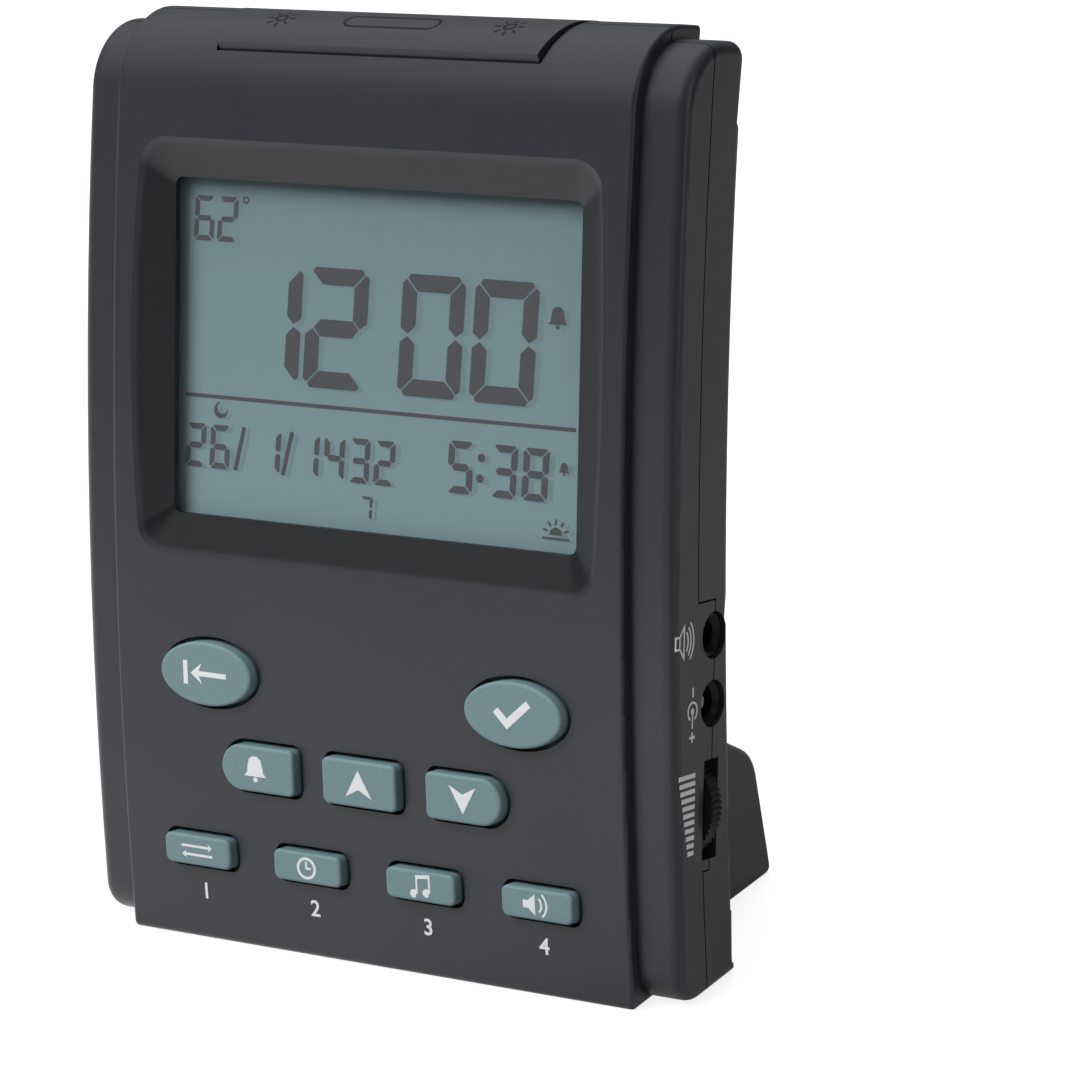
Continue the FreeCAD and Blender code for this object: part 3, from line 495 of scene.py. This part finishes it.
def bell(u, v, size):
    # a small alarm bell: dome, flared mouth and clapper
    half = [(0.5, -0.3), (0.36, -0.14), (0.33, 0.12), (0.26, 0.36), (0.10, 0.48)]
    right = [(u + a * size, v + b * size) for a, b in half]
    left = [(u - a * size, v + b * size) for a, b in half[::-1]]
    return [right + left, disc(u, v - 0.42 * size, 0.1 * size, 12)]


def crescent(u, v, radius, bite, tip, turn, steps=14):
    # a disc with a second disc bitten out of it; the tips lie at an angle each side of the bite
    tip_u, tip_v = radius * math.cos(tip), radius * math.sin(tip)
    inner = math.hypot(tip_u - bite, tip_v)
    inner_tip = math.atan2(tip_v, tip_u - bite)
    rim = [(0, radius, tip + (2 * math.pi - 2 * tip) * i / steps) for i in range(steps + 1)]
    rim += [(bite, inner, 2 * math.pi - inner_tip - (2 * math.pi - 2 * inner_tip) * i / steps)
            for i in range(1, steps)]
    points = [(away + reach * math.cos(angle), reach * math.sin(angle)) for away, reach, angle in rim]
    return [[(u + a * math.cos(turn) - b * math.sin(turn), v + a * math.sin(turn) + b * math.cos(turn))
             for a, b in points]]


# each row: width, height, bar and gap of its figures, its foot, then each figure and its left edge
FIGURE_ROWS = (
    (10.0, 16.5, 2.35, 0.16, 79.3, ((1, -22.1), (2, -11.3), (0, 4.1), (0, 15.6))),
    (3.3, 6.2, 0.74, 0.14, 98.3, ((6, -29.7), (2, -25.8))),
    (3.3, 6.1, 0.82, 0.13, 66.8, ((2, -30.9), (6, -26.8), (1, -18.3), (1, -11.9), (4, -7.7), (3, -3.6),
                                  (2, 0.5))),
    (4.0, 7.1, 1.0, 0.14, 66.8, ((5, 12.3), (3, 19.2), (8, 24.1))),
    (1.9, 3.3, 0.42, 0.08, 61.8, ((7, -1.6),)),
)
figures = []
for width, height, bar, gap, foot, row in FIGURE_ROWS:
    for digit, left in row:
        figures += figure(digit, left, foot, width, height, bar, gap)
small_marks = [stroke(-22.4, 66.8, -20.9, 72.9, 0.62), stroke(-14.4, 66.8, -12.9, 72.9, 0.62),
               disc(17.6, 69.1, 0.58), disc(17.8, 71.9, 0.58)]
small_marks += arc_band(-20.9, 104.2, 0.28, 0.52, 0, 360)
small_marks += bell(29.3, 91.4, 3.0) + bell(30.7, 71.5, 1.7)
small_marks += crescent(-24.9, 75.0, 1.15, 0.45, math.radians(40), math.radians(50))
SUN_U = 29.6
SUN_V = 62.6
SUN_R = 1.0
sun = [(SUN_U + SUN_R * math.cos(math.radians(a)), SUN_V + SUN_R * math.sin(math.radians(a)))
       for a in range(0, 181, 15)]
small_marks += [sun, stroke(27.5, 62.1, 31.7, 62.1, 0.32)]
small_marks += rays(SUN_U, SUN_V, 1.4, 2.1, 0.3, (20, 55, 90, 125, 160))
divider = [stroke(-31.0, 76.8, 32.4, 76.8, 0.52)]

electrode = moulded_plastic("electrode_grey", (0.058, 0.06, 0.068, 1), (0.07, 0.071, 0.08, 1),
                            grain_size=3000.0, rough=0.4, shine=0.2, depth=0.000005)
# the tint of the painted shadow, a little darker than the glass behind the marks
painted_shadow_tint = moulded_plastic("painted_shadow_tint", (0.155, 0.24, 0.26, 1), (0.17, 0.262, 0.282, 1),
                              grain_size=3000.0, rough=0.4, shine=0.2, depth=0.000005)
SHADOW_RIGHT = 0.85
SHADOW_DOWN = 0.22
flat_piece("display_figures", figures, on_display, 0.0, 0.05, electrode, "clock_case")
flat_piece("display_marks", small_marks + divider, on_display, 0.0, 0.05, electrode, "clock_case")
# painted shadow: a darker copy of the marks, set off to the right and down on the backing
painted_shadow = [[(u + SHADOW_RIGHT, v - SHADOW_DOWN) for u, v in shape] for shape in figures + small_marks]
flat_piece("display_second_image", painted_shadow, on_display, 0.0, 0.02, painted_shadow_tint, "clock_case")


# The nine keys are soft-touch caps in the display's grey-green, each standing in its own hole.
# Their signs are pad printed in white on the bowed tops, and each print moves with its key.
FACE_HEIGHT = 83.5
KEY_PROUD = 1.6
INK = 0.03

key_plastic = moulded_plastic("key_plastic", (0.15, 0.24, 0.257, 1), (0.205, 0.312, 0.33, 1),
                              grain_size=5200.0, rough=0.46, shine=0.4, depth=0.00002)
dress(key_plastic, *[name for name in nodes if name.startswith("key_")])
white_ink = moulded_plastic("white_ink", (0.76, 0.78, 0.79, 1), (0.92, 0.93, 0.94, 1),
                            grain_size=4500.0, rough=0.5, shine=0.3, depth=0.00001)


def face_depth(height, proud):
    # how far back the bowed face, or a key top proud of it, lies at one height
    reach = FACE_RADIUS + proud
    return FACE_RADIUS - math.sqrt(reach ** 2 - (height - FACE_HEIGHT) ** 2)


def on_key(u, v, lift):
    return u, face_depth(v, KEY_PROUD) - lift, v


def on_panel(u, v, lift):
    return u, face_depth(v, 0) - lift, v


def moved(shapes, u, v):
    return [[(a + u, b + v) for a, b in shape] for shape in shapes]


def arrow(u0, u1, v, width, head):
    # a straight arrow along the key, pointing from u0 to u1, with swept barbs
    way = 1 if u1 > u0 else -1
    barb = u1 - way * head * 1.25
    join = u1 - way * (0.8 * head + 0.225 * width)
    return [[(u0, v - width / 2), (join, v - width / 2), (barb, v - head), (u1, v), (barb, v + head),
             (join, v + width / 2), (u0, v + width / 2)]]


def note_head(u, v, radius, cut, steps=14):
    # a note's round head, cut straight where its stem begins
    start = math.acos((cut - u) / radius)
    return [(u + radius * math.cos(start + (2 * math.pi - 2 * start) * i / steps),
             v + radius * math.sin(start + (2 * math.pi - 2 * start) * i / steps)) for i in range(steps + 1)]


def clock_hands(up, across, width):
    # two hands at right angles, as one bent strip
    half = width / 2
    return [(-half, up), (-half, -half), (across, -half), (across, half), (half, half), (half, up)]


KEY_SIGNS = {
    "key_exit": (-25.1, 38.3, arrow(3.6, -2.4, 0, 0.72, 1.5) + [stroke(-3.3, -1.7, -3.3, 1.7, 0.72)]),
    "key_set": (25.1, 38.3, [[(-2.9, 0.15), (-2.15, 0.85), (-0.75, -0.5), (2.3, 2.2), (3.0, 1.4),
                              (-0.75, -2.0)]]),
    "key_daily_alarm": (-16.9, 25.6, bell(-0.3, 0.1, 3.7)),
    "key_up": (0.0, 25.6, [[(0, 2.0), (-2.15, -1.9), (0, -0.75), (2.15, -1.9)]]),
    "key_down": (16.9, 25.6, [[(0, -2.0), (2.15, 1.9), (0, 0.75), (-2.15, 1.9)]]),
    "key_calendar": (-28.0, 12.4, arrow(-2.6, 2.6, 0.62, 0.36, 0.62) + arrow(2.6, -2.6, -0.62, 0.36, 0.62)),
    "key_reminder": (-9.35, 12.4, arc_band(0, 0, 1.2, 1.6, 0, 360, 28) + [clock_hands(0.95, 0.75, 0.34)]),
    "key_volume_tone": (9.35, 12.4, [note_head(-1.0, -1.1, 0.6, -0.65), note_head(1.05, -0.85, 0.6, 1.4),
                                     [(-0.65, -1.1), (-0.35, -1.1), (-0.35, 1.05), (1.4, 1.25), (1.4, -0.85),
                                      (1.7, -0.85), (1.7, 1.8), (-0.65, 1.55)]]),
    "key_call": (28.0, 12.4, [[(-2.1, -0.55), (-1.3, -0.55), (-0.2, -1.5), (-0.2, 1.5), (-1.3, 0.55),
                               (-2.1, 0.55)]]
                 + arc_band(-0.5, 0, 1.15, 1.45, -48, 48, 8) + arc_band(-0.5, 0, 1.95, 2.25, -48, 48, 10)),
}
for key_name, (u, v, signs) in KEY_SIGNS.items():
    flat_piece(key_name + "_sign", moved(signs, u, v), on_key, -INK, INK, white_ink, key_name + "_cap")


# Plain numbers are printed on the panel under the four low keys, as the row's own reference.
# They are pad printed like the key signs, thinner, and follow the bowed chin of the panel.
NUMBER_HEIGHT = 6.15
NUMBER_SIZE = 3.3


def settled(source, name):
    # the plain mesh of an object once its curve or modifier is worked out; the object itself goes
    bpy.context.scene.collection.objects.link(source)
    bpy.context.view_layer.update()
    mesh = bpy.data.meshes.new_from_object(source.evaluated_get(bpy.context.evaluated_depsgraph_get()))
    bpy.data.objects.remove(source)
    mesh.name = name
    return mesh


for number, u in (("1", -28.0), ("2", -9.35), ("3", 9.35), ("4", 28.0)):
    letters = bpy.data.curves.new("panel_number_" + number, "FONT")
    letters.body = number
    letters.size = NUMBER_SIZE
    letters.align_x = "CENTER"
    letters.align_y = "CENTER"
    letters.extrude = INK
    letters.offset = 0.05
    printed = settled(bpy.data.objects.new("words", letters), "panel_number_" + number)
    for vert in printed.vertices:
        vert.co = Vector(on_panel(vert.co.x + u, vert.co.y + NUMBER_HEIGHT, vert.co.z))
    printed.transform(stand)
    printed.materials.clear()
    printed.materials.append(white_ink)
    set_piece("panel_number_" + number, printed, "clock_case")


# Shallow marks are cut into the top bar: a lamp sign at each side and a pill shape between.
# They are drawn on the bar's roll as thin near-black inlays, painted shade for the cuts, and go down with the
# bar.
ROLL_Y = 12.0
ROLL_Z = 118.02
BAR_RADIUS = 12.0
MARK_ANGLE = math.radians(66)
# near black: the shade in the cut marks, painted as colour
painted_cut_shade = moulded_plastic("painted_cut_shade", (0.003, 0.003, 0.004, 1), (0.006, 0.006, 0.007, 1),
                             grain_size=4200.0, rough=0.5, shine=0.3, depth=0.00002)


def on_bar(u, v, lift):
    angle = MARK_ANGLE + v / BAR_RADIUS
    radius = BAR_RADIUS + lift
    return u, ROLL_Y - radius * math.cos(angle), ROLL_Z + radius * math.sin(angle)


bar_marks = []
for u in (-18.0, 18.6):
    bar_marks += arc_band(u, 0, 0.55, 1.0, 0, 360, 20)
    bar_marks += rays(u, 0, 1.35, 2.3, 0.36, range(0, 360, 45))
PILL_HALF = 6.0
PILL_R = 1.7
PILL_INNER = PILL_R - 0.42
bar_marks += arc_band(PILL_HALF, 0, PILL_INNER, PILL_R, -90, 90, 14)
bar_marks += arc_band(-PILL_HALF, 0, PILL_INNER, PILL_R, 90, 270, 14)
bar_marks += [[(-PILL_HALF, side * PILL_INNER), (PILL_HALF, side * PILL_INNER),
               (PILL_HALF, side * PILL_R), (-PILL_HALF, side * PILL_R)][::side] for side in (1, -1)]
piece = flat_piece("top_bar_marks", bar_marks, on_bar, -0.02, 0.02, painted_cut_shade, "top_bar_cap")


# White signs beside the sockets and the wheel: a loudspeaker, the polarity of the power plug,
# and a ramp of eleven bars that grow towards loud. The ramp is one bar set out by rule.
SIDE_X = 48.0


def on_side(u, v, lift):
    return SIDE_X + lift, u, v


def outline_band(points, width):
    # an even line round a closed outline, mitred at its corners
    edges = []
    for before, corner, after in zip(points[-1:] + points[:-1], points, points[1:] + points[:1]):
        first = (Vector(corner) - Vector(before)).normalized()
        second = (Vector(after) - Vector(corner)).normalized()
        side = Vector((-first.y, first.x))
        mitre = (side + Vector((-second.y, second.x))).normalized()
        reach = mitre * (width / 2 / mitre.dot(side))
        edges.append((tuple(Vector(corner) + reach), tuple(Vector(corner) - reach)))
    return [[one[0], one[1], two[1], two[0]] for one, two in zip(edges, edges[1:] + edges[:1])]


def plus_sign(u, v, arm, width):
    half = width / 2
    corners = ((-half, arm), (-half, half), (-arm, half), (-arm, -half), (-half, -half), (-half, -arm),
               (half, -arm), (half, -half), (arm, -half), (arm, half), (half, half), (half, arm))
    return [(u + a, v + b) for a, b in corners]


CONE_U = 4.6
CONE_V = 49.8
PLUG_U = 8.4
PLUG_V = 40.2
cone_outline = [(3.5, 49.0), (CONE_U, 49.0), (5.7, 47.7), (5.7, 51.9), (CONE_U, 50.6), (3.5, 50.6)]
speaker_sign = outline_band(cone_outline, 0.3)
speaker_sign.append(stroke(CONE_U, 49.2, CONE_U, 50.4, 0.26))
for reach, spread in ((2.0, 36), (2.75, 40), (3.5, 42)):
    speaker_sign += arc_band(CONE_U, CONE_V, reach, reach + 0.3, -spread, spread, 12)
plug_sign = [stroke(PLUG_U, 42.1, PLUG_U, 43.4, 0.36), stroke(PLUG_U, 37.9, PLUG_U, 39.76, 0.3),
             disc(PLUG_U, PLUG_V, 0.42, 14), plus_sign(PLUG_U, 36.7, 0.7, 0.36)]
plug_sign += arc_band(PLUG_U, PLUG_V, 1.05, 1.35, -60, 240, 24)
flat_piece("socket_signs", speaker_sign + plug_sign, on_side, -INK, INK, white_ink, "clock_case")

RAMP_BARS = 11
ramp = bpy.data.node_groups.new("volume_ramp", "GeometryNodeTree")
for name, kind, value in (("Bars", "NodeSocketInt", RAMP_BARS), ("Pitch", "NodeSocketFloat", 1.05),
                          ("Longest", "NodeSocketFloat", 4.3), ("Shortest", "NodeSocketFloat", 1.6),
                          ("Thickness", "NodeSocketFloat", 0.62), ("Ink", "NodeSocketFloat", 2 * INK)):
    socket(ramp, name, "INPUT", kind, value)
socket(ramp, "Material", "INPUT", "NodeSocketMaterial")
socket(ramp, "Geometry", "OUTPUT", "NodeSocketGeometry")
given = ramp.nodes.new("NodeGroupInput")
result = ramp.nodes.new("NodeGroupOutput")
line = ramp.nodes.new("GeometryNodeMeshLine")
down = ramp.nodes.new("ShaderNodeCombineXYZ")
ramp.links.new(given.outputs["Bars"], line.inputs["Count"])
ramp.links.new(math_node(ramp, "MULTIPLY", given.outputs["Pitch"], -1.0), down.inputs["Z"])
ramp.links.new(down.outputs[0], line.inputs["Offset"])
order = ramp.nodes.new("GeometryNodeInputIndex")
last = math_node(ramp, "SUBTRACT", given.outputs["Bars"], 1)
share = math_node(ramp, "DIVIDE", order.outputs[0], last)
shrink = math_node(ramp, "SUBTRACT", given.outputs["Longest"], given.outputs["Shortest"])
length = math_node(ramp, "SUBTRACT", given.outputs["Longest"], math_node(ramp, "MULTIPLY", shrink, share))
block = ramp.nodes.new("GeometryNodeMeshCube")
size = ramp.nodes.new("ShaderNodeCombineXYZ")
ramp.links.new(given.outputs["Ink"], size.inputs["X"])
size.inputs["Y"].default_value = 1.0
ramp.links.new(given.outputs["Thickness"], size.inputs["Z"])
ramp.links.new(size.outputs[0], block.inputs["Size"])
stretch = ramp.nodes.new("ShaderNodeCombineXYZ")
stretch.inputs["X"].default_value = 1.0
stretch.inputs["Z"].default_value = 1.0
ramp.links.new(length, stretch.inputs["Y"])
back_edge = ramp.nodes.new("GeometryNodeSetPosition")
half_back = ramp.nodes.new("ShaderNodeCombineXYZ")
ramp.links.new(math_node(ramp, "MULTIPLY", length, -0.5), half_back.inputs["Y"])
ramp.links.new(line.outputs["Mesh"], back_edge.inputs["Geometry"])
ramp.links.new(half_back.outputs[0], back_edge.inputs["Offset"])
bars = ramp.nodes.new("GeometryNodeInstanceOnPoints")
ramp.links.new(back_edge.outputs[0], bars.inputs["Points"])
ramp.links.new(block.outputs["Mesh"], bars.inputs["Instance"])
ramp.links.new(stretch.outputs[0], bars.inputs["Scale"])
real = ramp.nodes.new("GeometryNodeRealizeInstances")
painted = ramp.nodes.new("GeometryNodeSetMaterial")
ramp.links.new(bars.outputs[0], real.inputs[0])
ramp.links.new(real.outputs[0], painted.inputs["Geometry"])
ramp.links.new(given.outputs["Material"], painted.inputs["Material"])
ramp.links.new(painted.outputs[0], result.inputs["Geometry"])


def grown(name, tree, inputs):
    # the plain mesh that a Geometry Nodes tree makes with these inputs
    seed = bpy.data.objects.new(name + "_seed", bpy.data.meshes.new(name + "_seed"))
    modifier = seed.modifiers.new("grow", "NODES")
    modifier.node_group = tree
    for item in tree.interface.items_tree:
        if item.in_out == "INPUT" and item.name in inputs:
            modifier[item.identifier] = inputs[item.name]
    seed.update_tag()
    return settled(seed, name)


RAMP_BACK = 9.55
RAMP_TOP = 31.5
ramp_mesh = grown("volume_ramp", ramp, {"Material": white_ink})
ramp_mesh.transform(stand @ Matrix.Translation((SIDE_X, RAMP_BACK, RAMP_TOP)))
set_piece("volume_ramp", ramp_mesh, "clock_case")


# The two sockets are glossy black mouldings with a plated pin in the power one. The volume
# wheel is ribbed black plastic on the steel shaft of its small potentiometer.
socket_black = moulded_plastic("socket_black", (0.004, 0.004, 0.0045, 1), (0.008, 0.008, 0.009, 1),
                               grain_size=2600.0, rough=0.42, shine=0.22, depth=0.00001)
wheel_black = moulded_plastic("wheel_black", (0.007, 0.007, 0.008, 1), (0.014, 0.014, 0.016, 1),
                              grain_size=3600.0, rough=0.5, shine=0.3, depth=0.00003)
dress(socket_black, "audio_jack", "dc_jack")
dress(wheel_black, "volume_wheel")


STREAK_SHADE = 0.82          # the colour in a streak beside the bright plating
STREAK_DRAW = 12             # how much longer than wide a streak is


def plated(name, colour, rough, streak):
    # drawn or stamped metal with fine lengthwise streaks under a bright plating
    material = bpy.data.materials.new(name)
    material.use_nodes = True
    tree = material.node_tree
    shader = tree.nodes["Principled BSDF"]
    place = tree.nodes.new("ShaderNodeTexCoord")
    along = tree.nodes.new("ShaderNodeMapping")
    along.inputs["Scale"].default_value = (streak / STREAK_DRAW, streak, streak)
    tree.links.new(place.outputs["Object"], along.inputs["Vector"])
    lines = new_node(tree, "ShaderNodeTexNoise", Scale=1.0, Detail=3.0)
    tree.links.new(along.outputs[0], lines.inputs["Vector"])
    shadowed = [STREAK_SHADE * c for c in colour[:3]] + [1]
    tree.links.new(mixed(tree, lines.outputs["Fac"], shadowed, colour), shader.inputs["Base Color"])
    gloss = ramp_node(tree, lines.outputs["Fac"], 0.0, 1.0, rough - 0.08, rough + 0.1)
    tree.links.new(gloss, shader.inputs["Roughness"])
    shader.inputs["Metallic"].default_value = 1.0
    return material


plated_steel = plated("plated_steel", (0.62, 0.61, 0.58, 1), 0.3, 3000.0)
dress(plated_steel, "volume_pot", "dc_jack_pin", "battery_contacts", "case_screws", "board_screws",
      "speaker_frame")


# The loudspeaker behind the rear grille: a pressed steel basket, a film cone with a pressed
# ring pattern, and a dark ferrite magnet.
cone_film = moulded_plastic("cone_film", (0.09, 0.08, 0.062, 1), (0.13, 0.115, 0.09, 1),
                            grain_size=1800.0, rough=0.45, shine=0.5, depth=0.00005)
ferrite = moulded_plastic("ferrite", (0.022, 0.022, 0.023, 1), (0.035, 0.035, 0.036, 1),
                          grain_size=2400.0, rough=0.7, shine=0.4, depth=0.00005)
dress(cone_film, "speaker_cone")
dress(ferrite, "speaker_magnet")


# The boards are green solder mask over copper tracks, with black moulded parts on the back,
# and the key mat is one sheet of grey silicone rubber with a dome under each key.
board_green = moulded_plastic("board_green", (0.012, 0.075, 0.028, 1), (0.02, 0.11, 0.04, 1),
                              grain_size=1500.0, rough=0.32, shine=0.5, depth=0.00001)
tree = board_green.node_tree
place = tree.nodes["Texture Coordinate"]
tracks = new_node(tree, "ShaderNodeTexBrick", Scale=420.0)
tracks.inputs["Mortar Size"].default_value = 0.035
tracks.inputs["Color1"].default_value = (0.011, 0.075, 0.027, 1)
tracks.inputs["Color2"].default_value = (0.014, 0.09, 0.032, 1)
tracks.inputs["Mortar"].default_value = (0.035, 0.17, 0.07, 1)
flat = new_node(tree, "ShaderNodeMapping")
flat.inputs["Rotation"].default_value = (math.radians(90) + LEAN, 0, 0)
tree.links.new(place.outputs["Object"], flat.inputs["Vector"])
tree.links.new(flat.outputs[0], tracks.inputs["Vector"])
tree.links.new(tracks.outputs["Color"], tree.nodes["Principled BSDF"].inputs["Base Color"])
chip_black = moulded_plastic("chip_black", (0.009, 0.009, 0.01, 1), (0.018, 0.018, 0.019, 1),
                             grain_size=2800.0, rough=0.5, shine=0.4, depth=0.00003)
mat_grey = moulded_plastic("mat_grey", (0.19, 0.19, 0.185, 1), (0.25, 0.25, 0.245, 1),
                           grain_size=1600.0, rough=0.68, shine=0.35, depth=0.00003)
dress(board_green, "main_board", "switch_board")
dress(chip_black, "board_chips", "top_bar_switch")
dress(mat_grey, "keypad_mat")


# The two AA cells have a steel can under a shrunk plastic wrap: dark blue with a plain brass
# coloured band at the positive end. They lie opposite ways in the bay.
CELL_HALF = 0.0255
CELL_STEEL = (0.42, 0.42, 0.41, 1)
CELL_BLUE = (0.012, 0.024, 0.075, 1)
CELL_BRASS = (0.4, 0.24, 0.08, 1)


def cell_wrap(name, way):
    # the wrap's zones along one cell, from the negative end (0) to the positive end (1)
    wrap = moulded_plastic(name, CELL_BLUE, CELL_BLUE, grain_size=900.0, rough=0.28, shine=0.5, depth=0.00001)
    tree = wrap.node_tree
    split = tree.nodes.new("ShaderNodeSeparateXYZ")
    tree.links.new(tree.nodes["Texture Coordinate"].outputs["Object"], split.inputs[0])
    reach = ramp_node(tree, split.outputs["X"], -way * CELL_HALF, way * CELL_HALF, 0.0, 1.0)
    zones = tree.nodes.new("ShaderNodeValToRGB")
    zones.color_ramp.interpolation = "CONSTANT"
    zones.color_ramp.elements[0].color = CELL_STEEL
    zones.color_ramp.elements[1].position = 0.975
    zones.color_ramp.elements[1].color = CELL_STEEL
    for place, colour in ((0.03, CELL_BLUE), (0.72, CELL_BRASS)):
        zones.color_ramp.elements.new(place).color = colour
    tree.links.new(reach, zones.inputs["Fac"])
    tree.links.new(zones.outputs["Color"], tree.nodes["Principled BSDF"].inputs["Base Color"])
    return wrap


dress(cell_wrap("cell_wrap_front", 1), "battery_front")
dress(cell_wrap("cell_wrap_rear", -1), "battery_rear")
